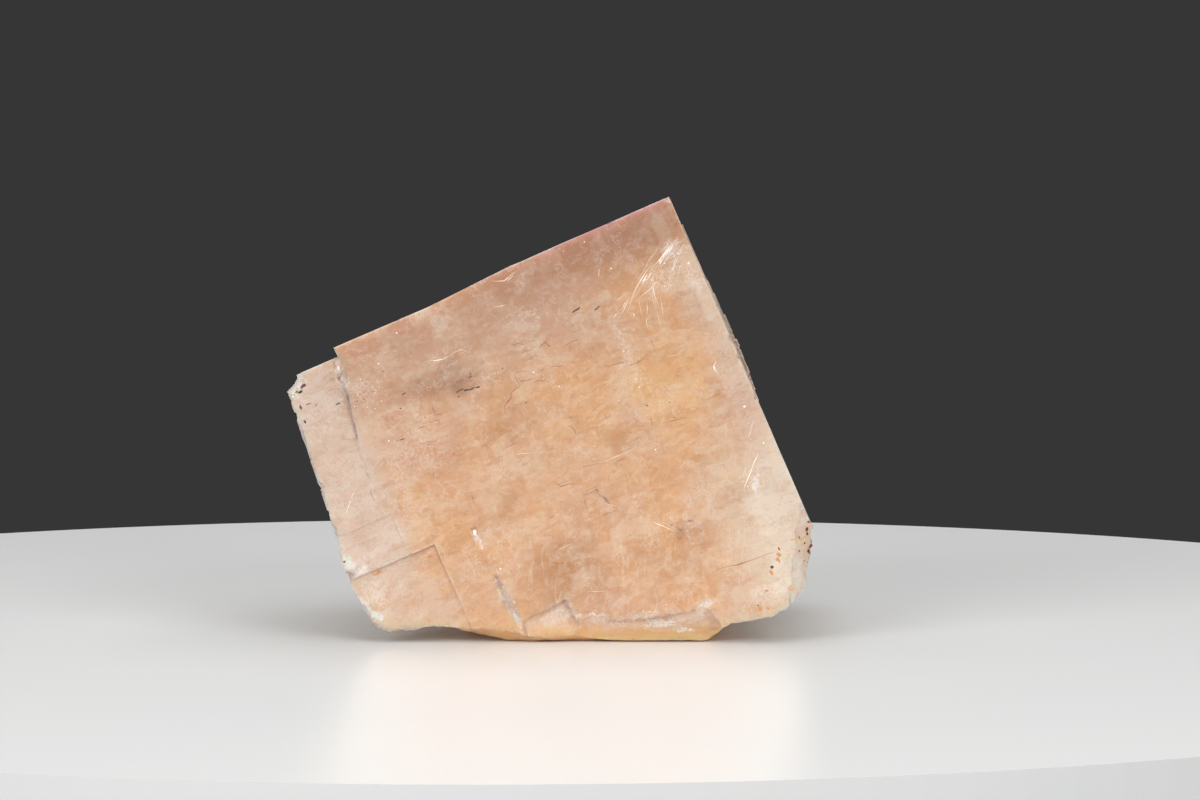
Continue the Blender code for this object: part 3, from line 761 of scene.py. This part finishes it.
# Brown dust on the right face, which also paints the dark reflection of the dim room that the face shows edge-on.
patch = place.shifted("SUBTRACT", (0.0, 14.0, -15.5)).shifted("DIVIDE", (4.0, 15.0, 11.0))
from_patch = patch.node("VectorMath", {"operation": "LENGTH"}, {0: patch}, "Value")
dust_and_painted_reflection = (from_patch + 0.5 * veil).ease(1.15, 0.6) * along.ease(-0.14, -0.04) * mottle.ease(0.30, 0.60, 0.15, 0.85)
colour = colour.under(dust_and_painted_reflection, DUST_AND_PAINTED_REFLECTION)
frosted = broken_here * speckle * (1 - honey) * 0.55
frosted = frosted.over(worn_here * speckle * 0.45)
frosted = frosted.over((crushed_here * 0.9 + speckle * 0.7).ease(0.75, 1.3) * 0.85)
frosted = frosted.over(haze * speckle.ease(0.1, 0.9) * 0.7)
colour = colour.under(frosted, MILK)
corner_tint = (along + 1.2 * mottle).ease(-2.2, -1.0) * (up + 2.0 * mottle).ease(-33.5, -36.5)
colour = colour.under(corner_tint * mottle.ease(0.3, 0.7, 0.1, 0.6), HONEY)
colour = colour.under(rusty.ease(0.15, 0.7) * mottle.ease(0.30, 0.50) * 0.85, RUST)

# The right face is the smoothest. The crystal is cloudy: most light scatters below its surface, and some goes through.
polished = along.ease(-0.5, -0.1) * (1 - broken_here)
roughness = broken_here * 0.25 + mottle * 0.14 + crushed_here * 0.3 + polished * -0.12 + 0.12
skin = tone.node("Bump", {}, {"Strength": 0.16, "Distance": 0.0002, "Height": mottle + grain * 0.5 + wisps * 0.4})
lay(shader, Base_Color=colour, Roughness=roughness, Normal=skin)
shader.inputs["IOR"].default_value = 1.434
shader.inputs["Subsurface Weight"].default_value = 0.7
shader.inputs["Subsurface Radius"].default_value = (1.0, 0.6, 0.4)
shader.inputs["Subsurface Scale"].default_value = 0.0025
shader.inputs["Transmission Weight"].default_value = 0.25
body = materials[FLUORITE].node_tree
soak = tone.node("VolumeAbsorption", {}, {"Color": shade(250, 205, 160), "Density": 25.0})
body.links.new(soak.socket, body.nodes["Material Output"].inputs["Volume"])

# The grooves have plain colours of their own: white in the scratches and brown in the clefts.
two_colours(materials[BRUISE], (1.6, 4.0, 0.40, 0.62), shade(228, 200, 176), shade(255, 248, 242), 0.5)
two_colours(materials[STAIN], (2.6, 3.0, 0.35, 0.6), shade(132, 92, 68), shade(184, 138, 106), 0.6)

# ---------------------------------------------------------------------------------------------------------------------
# Grains. The real crystal has dark specks of its matrix in its face, crumbs of crushed fluorite in its bruises, and
# rust at the lower right corner. Each kind is one piece of small lumps, set into the surface by Geometry Nodes.

# A grain's half thickness is a share of its smaller half width, and its middle lies below the face by a share of that.
# It is turned by up to this angle either way.
GRAIN_THICKNESS = 0.4
GRAIN_SUNK = 0.45
GRAIN_TURN = 0.3

# A grain's place along a and b, and half its length and half its width.
DARK_FLECKS = (
    (-27.3, -9.45, 0.18, 0.12), (-26.9, -9.4, 0.38, 0.09), (-26.4, -9.65, 0.43, 0.12), (-25.8, -9.75, 0.38, 0.10),
    (-25.2, -9.85, 0.28, 0.09), (-27.4, -9.95, 0.12, 0.11), (-32.3, -7.5, 0.28, 0.07), (-25.5, -8.6, 0.28, 0.09),
    (-25.35, -8.3, 0.07, 0.12), (-11.2, -7.4, 0.28, 0.11), (-10.9, -7.3, 0.18, 0.09), (-33.3, -4.6, 0.09, 0.07),
    (-33.2, -8.7, 0.10, 0.09), (-31.3, -10.5, 0.09, 0.07), (-22.2, -9.1, 0.09, 0.07), (-17.0, -8.9, 0.10, 0.07),
    (-10.4, -18.3, 0.10, 0.10), (-8.2, -18.9, 0.09, 0.07), (-12.0, -19.4, 0.07, 0.07), (-11.6, -20.0, 0.07, 0.06),
    (-8.4, -20.5, 0.07, 0.07), (-21.4, -13.2, 0.09, 0.07), (-21.5, -15.2, 0.07, 0.07), (-31.9, -11.3, 0.38, 0.06),
    (-34.3, -11.6, 0.30, 0.05), (-41.3, -2.75, 0.38, 0.20), (-41.8, -3.2, 0.33, 0.18), (-42.2, -3.0, 0.18, 0.15),
    (-42.4, -4.6, 0.12, 0.30), (-42.6, -6.1, 0.11, 0.25), (-41.5, -4.6, 0.35, 0.05), (-40.9, -5.0, 0.15, 0.05),
    (-38.8, -5.75, 0.30, 0.11), (-36.9, -6.3, 0.12, 0.06), (-36.2, -6.4, 0.10, 0.06), (-13.1, -6.7, 0.62, 0.11),
    (-43.6, -9.8, 0.07, 0.15), (-43.9, -13.2, 0.07, 0.12), (-44.7, -20.6, 0.15, 0.12), (-5.4, -38.2, 0.21, 0.18),
)
RUST_GRAINS = (
    (-0.24, -35.5, 0.13, 0.24), (-0.75, -36.2, 0.22, 0.26), (-0.85, -36.6, 0.16, 0.20), (-1.74, -36.6, 0.10, 0.18),
    (-1.49, -37.4, 0.15, 0.13), (-1.15, -38.1, 0.36, 0.24), (-1.45, -38.3, 0.20, 0.30), (-0.85, -37.9, 0.16, 0.20),
    (-2.26, -37.8, 0.10, 0.24), (-1.47, -38.9, 0.14, 0.22), (-2.21, -39.1, 0.09, 0.08), (-1.98, -39.4, 0.08, 0.07),
    (-4.02, -36.8, 0.09, 0.22), (-8.2, -41.2, 0.10, 0.10), (-6.81, -40.2, 0.05, 0.07), (-7.4, -41.8, 0.07, 0.06),
    (-31.3, -28.9, 0.06, 0.06), (-31.5, -30.8, 0.06, 0.06),
)
WHITE_CRUMBS = (
    (-33.4, -3.7, 0.10, 0.10), (-30.5, -1.6, 0.10, 0.09), (-9.6, -0.8, 0.08, 0.08), (-11.9, -0.8, 0.08, 0.07),
    (-8.2, -4.3, 0.09, 0.09), (-10.4, -12.4, 0.09, 0.09), (-10.4, -15.4, 0.07, 0.07), (-10.4, -16.3, 0.08, 0.07),
    (-12.8, -16.7, 0.07, 0.07), (-17.7, -13.0, 0.08, 0.08), (-11.4, -22.7, 0.10, 0.10), (-19.5, -10.7, 0.06, 0.16),
    (-31.4, -23.1, 0.22, 0.34), (-31.3, -24.9, 0.16, 0.10), (-30.5, -27.5, 0.14, 0.16), (-35.6, -11.2, 0.09, 0.08),
    (-5.5, -6.7, 0.12, 0.12), (-1.5, -5.6, 0.11, 0.10), (-0.9, -6.9, 0.12, 0.16), (-2.7, -17.5, 0.10, 0.30),
    (-1.5, -22.3, 0.16, 0.13), (-1.2, -26.4, 0.10, 0.10), (-37.3, -2.6, 0.16, 0.30), (-37.35, -3.4, 0.14, 0.26),
    (-42.7, -3.3, 0.18, 0.14),
)

# Sprays of the smallest crumbs: the face, the middle, the reach each way, how many, and their half width.
SPRAYS = (
    (FRONT, (-35.6, -6.4), (2.2, 2.4), 14, 0.04),
    (FRONT, (-33.4, -12.8), (3.4, 2.2), 12, 0.035),
    (FRONT, (-3.4, -7.2), (2.2, 1.8), 16, 0.04),
    (FRONT, (-30.8, -30.5), (0.5, 3.0), 16, 0.05),
    (FRONT, (-20.5, -37.4), (3.6, 0.4), 14, 0.05),
    (FRONT, (-3.4, -29.4), (1.1, 1.4), 14, 0.045),
    (FRONT, (-20.0, -14.0), (12.0, 8.0), 8, 0.025),
    (FRONT, (-12.0, -30.0), (10.0, 7.0), 8, 0.025),
    (RIGHT, (14.0, -18.0), (7.0, 8.0), 30, 0.06),
    (LEFT, (16.0, -14.0), (7.0, 7.0), 30, 0.06),
    (TOP, (-20.0, 10.0), (8.0, 5.0), 30, 0.06),
    (BACK, (-20.0, -18.0), (8.0, 7.0), 30, 0.06),
)


def grain_tree():
    """Puts a lump at each point, as large as its reach and turned as its turn says, and roughens the lumps."""
    tree = bpy.data.node_groups.new("grains_on_points", "GeometryNodeTree")
    for name, kind in (("Points", "Geometry"), ("Lumpiness", "Float"), ("Seed", "Float"), ("Material", "Material")):
        tree.interface.new_socket(name, in_out="INPUT", socket_type=f"NodeSocket{kind}")
    tree.interface.new_socket("Grains", in_out="OUTPUT", socket_type="NodeSocketGeometry")
    given = tree.nodes.new("NodeGroupInput").outputs
    made = tree.nodes.new("NodeGroupOutput")

    def node(kind, settings, inputs, out=0):
        step = tree.nodes.new(kind)
        for name, value in settings.items():
            setattr(step, name, value)
        for name, value in inputs.items():
            if isinstance(value, bpy.types.NodeSocket):
                tree.links.new(value, step.inputs[name])
            else:
                step.inputs[name].default_value = value
        return step.outputs[out]

    reach = node("GeometryNodeInputNamedAttribute", {"data_type": "FLOAT_VECTOR"}, {"Name": "reach"})
    turn = node("GeometryNodeInputNamedAttribute", {"data_type": "FLOAT_VECTOR"}, {"Name": "turn"})
    facing = node("FunctionNodeEulerToRotation", {}, {0: turn})
    lump = node("GeometryNodeMeshIcoSphere", {}, {"Radius": 1.0, "Subdivisions": 2})
    lumps = node("GeometryNodeInstanceOnPoints", {},
                 {"Points": given["Points"], "Instance": lump, "Rotation": facing, "Scale": reach})
    solid = node("GeometryNodeRealizeInstances", {}, {0: lumps})
    where = node("GeometryNodeInputPosition", {}, {})
    rough = node("ShaderNodeTexNoise", {"noise_dimensions": "4D"},
                 {"Vector": where, "W": given["Seed"], "Scale": 9000.0, "Detail": 2.0}, 1)
    uneven = node("ShaderNodeVectorMath", {"operation": "SUBTRACT"}, {0: rough, 1: (0.5, 0.5, 0.5)})
    sized = node("ShaderNodeVectorMath", {"operation": "MULTIPLY"}, {0: uneven, 1: reach})
    shift = node("ShaderNodeVectorMath", {"operation": "SCALE"}, {0: sized, "Scale": given["Lumpiness"]})
    moved = node("GeometryNodeSetPosition", {}, {"Geometry": solid, "Offset": shift})
    tree.links.new(node("GeometryNodeSetMaterial", {}, {"Geometry": moved, "Material": given["Material"]}),
                   made.inputs[0])
    return tree


GRAINS = grain_tree()
skin_of_crystal = BVHTree.FromObject(crystal, bpy.context.evaluated_depsgraph_get())


def set_grains(name, kinds, lumpiness, seed, material):
    """One piece of grains. A grain: the face it is on, its place along and up it, and its half length and width."""
    pick = random.Random(seed)
    places, reaches, turns = [], [], []
    for face, along, up, long, wide in kinds:
        level = surface_level(skin_of_crystal, face, along, up)
        if level is None:
            continue
        thick = GRAIN_THICKNESS * min(long, wide)
        reach = face[1] * long + face[2] * wide + Vector([abs(part) for part in face[0]]) * thick
        turn = Matrix.Rotation(pick.uniform(-GRAIN_TURN, GRAIN_TURN), 4, (face[0].x, face[0].z, face[0].y))
        places.append(STANDING @ from_face(face, along, up, level - GRAIN_SUNK * thick))
        reaches.append(Vector((reach.x, reach.z, reach.y)) * MM)
        facing = Matrix.Rotation(-LEAN, 4, "Y") @ Matrix.Rotation(-TURN, 4, "Z") @ turn
        turns.append(Vector(facing.to_euler()))
    points = bpy.data.meshes.new(name)
    points.from_pydata(places, [], [])
    for field, values in (("reach", reaches), ("turn", turns)):
        layer = points.attributes.new(field, "FLOAT_VECTOR", "POINT")
        layer.data.foreach_set("vector", [part for value in values for part in value])
    thing = bpy.data.objects.new(name, points)
    bpy.context.scene.collection.objects.link(thing)
    growing = thing.modifiers.new("grains", "NODES")
    growing.node_group = GRAINS
    sockets = {item.name: item.identifier for item in GRAINS.interface.items_tree if item.in_out == "INPUT"}
    growing[sockets["Lumpiness"]] = lumpiness
    growing[sockets["Seed"]] = float(seed)
    growing[sockets["Material"]] = material
    grains = bpy.data.meshes.new_from_object(thing.evaluated_get(bpy.context.evaluated_depsgraph_get()))
    thing.modifiers.remove(growing)
    thing.data = grains
    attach(thing, "root")


def sprayed(sprays, seed):
    """The crumbs of all the sprays."""
    pick = random.Random(seed)
    for face, (along, up), (wide, high), count, half in sprays:
        for _ in range(count):
            size = half * pick.uniform(0.6, 1.5)
            yield face, pick.gauss(along, wide / 2), pick.gauss(up, high / 2), size * pick.uniform(1, 2), size


dark_speck = bpy.data.materials.new("dark_speck")
two_colours(dark_speck, (0.8, 2.0, 0.35, 0.65), shade(60, 44, 36), shade(112, 94, 84), 0.45)
set_grains("dark_flecks", [(FRONT, *fleck) for fleck in DARK_FLECKS], 1.0, 51, dark_speck)

rust = bpy.data.materials.new("rust")
shader, place = start_finish(rust)
tint = place.noise(0.45, detail=2.0)
reddish = tint.ease(0.42, 0.55).between(shade(84, 52, 42), shade(160, 74, 44))
lay(shader, Base_Color=reddish.under(tint.ease(0.54, 0.66), shade(226, 130, 52)))
shader.inputs["Roughness"].default_value = 0.7
set_grains("rust_grains", [(FRONT, *grain) for grain in RUST_GRAINS], 1.1, 52, rust)

crumb = bpy.data.materials.new("fluorite_crumb")
two_colours(crumb, (0.5, 2.0, 0.35, 0.65), shade(238, 214, 192), shade(252, 242, 230), 0.35)
set_grains("white_crumbs", [*((FRONT, *bit) for bit in WHITE_CRUMBS), *sprayed(SPRAYS, 53)], 1.0, 54, crumb)

# ---------------------------------------------------------------------------------------------------------------------
# The stage. The crystal stands on a plain pale round table, made here as one flat disc that stays on the stage. Soft
# light comes from large panels above, behind and to both sides in front, in a dim grey room.

TABLE_MIDDLE = (-0.0048, 0.0135)
TABLE_RADIUS = 0.122
TABLE_THICKNESS = 0.012
table = bpy.data.meshes.new("table")
disc = bmesh.new()
bmesh.ops.create_cone(disc, cap_ends=True, segments=180, radius1=TABLE_RADIUS, radius2=TABLE_RADIUS,
                      depth=TABLE_THICKNESS, matrix=Matrix.Translation((*TABLE_MIDDLE, -TABLE_THICKNESS / 2)))
disc.to_mesh(table)
disc.free()
floor = bpy.data.objects.new("table", table)
bpy.context.scene.collection.objects.link(floor)
pale = bpy.data.materials.new("pale_table")
shader, place = start_finish(pale)
lay(shader, Base_Color=place.noise(30.0).between(shade(236, 238, 238), shade(242, 242, 240)))
shader.inputs["Roughness"].default_value = 0.28
shader.inputs["IOR"].default_value = 1.42
table.materials.append(pale)


def panel(name, place, aim, width, height, power):
    """A soft rectangular light that faces a point."""
    lamp = bpy.data.lights.new(name, "AREA")
    lamp.shape = "RECTANGLE"
    lamp.size = width
    lamp.size_y = height
    lamp.energy = power
    light = bpy.data.objects.new(name, lamp)
    light.location = place
    light.rotation_euler = (Vector(aim) - Vector(place)).to_track_quat("-Z", "Y").to_euler()
    light.visible_camera = False
    bpy.context.scene.collection.objects.link(light)


MIDDLE = (0, 0, 0.02)
panel("overhead", (0.0, 0.0, 0.5), MIDDLE, 0.7, 0.7, 2.8)
panel("front_left", (-0.42, -0.55, 0.28), MIDDLE, 0.4, 0.4, 3.2)
panel("front_right", (0.38, -0.55, 0.28), MIDDLE, 0.4, 0.4, 2.6)
panel("behind", (0.0, 0.45, 0.45), MIDDLE, 0.8, 0.5, 0.5)

world = bpy.data.worlds.new("dim_room")
world.use_nodes = True
world.node_tree.nodes["Background"].inputs["Color"].default_value = shade(54, 54, 54)
world.node_tree.nodes["Background"].inputs["Strength"].default_value = 1.0
bpy.context.scene.world = world
bpy.context.scene.view_settings.view_transform = "Standard"

lens = bpy.data.cameras.new("camera")
lens.lens = 100
lens.sensor_width = 36
lens.clip_start = 0.01
camera = bpy.data.objects.new("camera", lens)
camera.location = (0.00445, -0.35366, 0.03955)
camera.rotation_euler = (math.radians(87.42), 0, 0)
bpy.context.scene.collection.objects.link(camera)
bpy.context.scene.camera = camera
